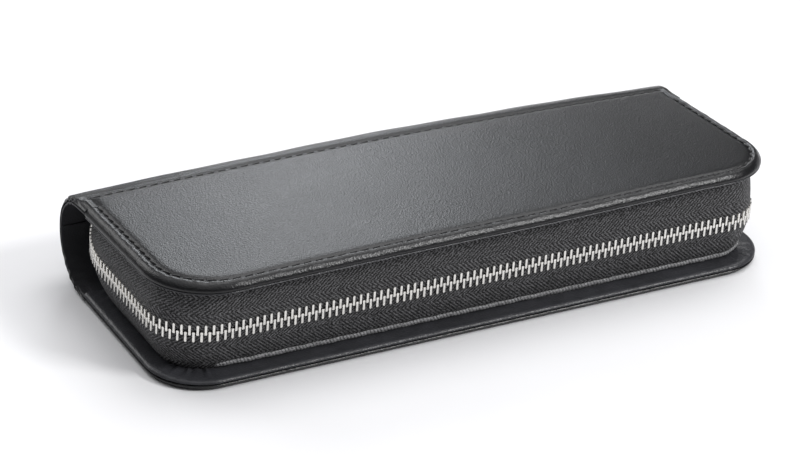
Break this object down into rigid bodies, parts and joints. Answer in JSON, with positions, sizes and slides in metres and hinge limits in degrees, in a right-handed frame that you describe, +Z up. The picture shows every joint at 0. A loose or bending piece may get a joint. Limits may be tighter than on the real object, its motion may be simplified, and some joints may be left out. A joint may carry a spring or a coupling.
{
  "type": "fountain pen case",
  "caption": "Slim zip-around leather pen case: two stiff covers joined by a round leather spine, a zipped wall between them and elastic pen loops inside.",
  "frame": {"origin": "middle of the closed case's footprint, on the surface it lies on", "axes": "+X along the case, towards the end with the zip's slider; +Y towards the spine; +Z up"},
  "size_m": [0.168, 0.0648, 0.028],
  "materials": {
    "leather": "fine-grained satin",
    "lining": "matt, smooth",
    "padding": "felted",
    "board": "raw grey board",
    "tape": "herringbone weave",
    "zip_metal": "polished nickel",
    "slider_metal": "polished nickel",
    "elastic": "ribbed elastic webbing",
    "thread": "waxed thread"
  },
  "bodies": {
    "base": {"base_leather": "leather", "base_foam": "padding", "base_board": "board", "base_facing": "leather", "base_lining": "lining", "base_gusset": "tape", "base_welt": "leather", "base_seam": "thread", "lower_tape": "tape", "lower_teeth": "zip_metal", "lower_teeth_run": "zip_metal", "lower_teeth_tail": "zip_metal", "lower_stop": "zip_metal", "end_stop": "zip_metal", "pen_loops": "elastic", "pen_loop_tacks": "thread"},
    "spine_lower": {"spine_leather_lower": "leather", "spine_lining_lower": "lining", "spine_seam_lower": "thread"},
    "spine_upper": {"spine_leather_upper": "leather", "spine_lining_upper": "lining", "spine_seam_upper": "thread"},
    "lid": {"lid_leather": "leather", "lid_foam": "padding", "lid_board": "board", "lid_facing": "leather", "lid_lining": "lining", "lid_gusset": "tape", "lid_welt": "leather", "lid_seam": "thread", "upper_tape": "tape", "upper_teeth": "zip_metal", "upper_teeth_run": "zip_metal", "upper_teeth_tail": "zip_metal", "upper_stop": "zip_metal"},
    "slider": {"slider_body": "slider_metal", "slider_crown": "slider_metal"},
    "pull": {"pull_tab": "slider_metal"}
  },
  "joints": [
    {"name": "lower_fold", "type": "hinge", "parent": "base", "child": "spine_lower", "pos_m": [0, 0.01855, 0.0016], "axis": [-1, 0, 0], "range_deg": [0, 45]},
    {"name": "middle_fold", "type": "hinge", "parent": "spine_lower", "child": "spine_upper", "pos_m": [0, 0.03095, 0.014], "axis": [-1, 0, 0], "range_deg": [0, 90]},
    {"name": "lid_fold", "type": "hinge", "parent": "spine_upper", "child": "lid", "pos_m": [0, 0.01855, 0.0264], "axis": [-1, 0, 0], "range_deg": [0, 45], "deforming": ["lower_teeth_tail", "upper_teeth_tail"]},
    {"name": "zip_slide", "type": "slide", "parent": "base", "child": "slider", "axis": [0, -1, 0], "range_m": [0, 0.017], "deforming": ["lower_teeth_run", "upper_teeth_run"]},
    {"name": "pull_swing", "type": "hinge", "parent": "slider", "child": "pull", "pos_m": [0.08265, 0.00605, 0.014], "axis": [0, 0, 1], "range_deg": [0, 170]}
  ],
  "couplings": [
    {"joint": "lower_fold", "follows": "lid_fold", "ratio": 1},
    {"joint": "middle_fold", "follows": "lid_fold", "ratio": 2}
  ]
}
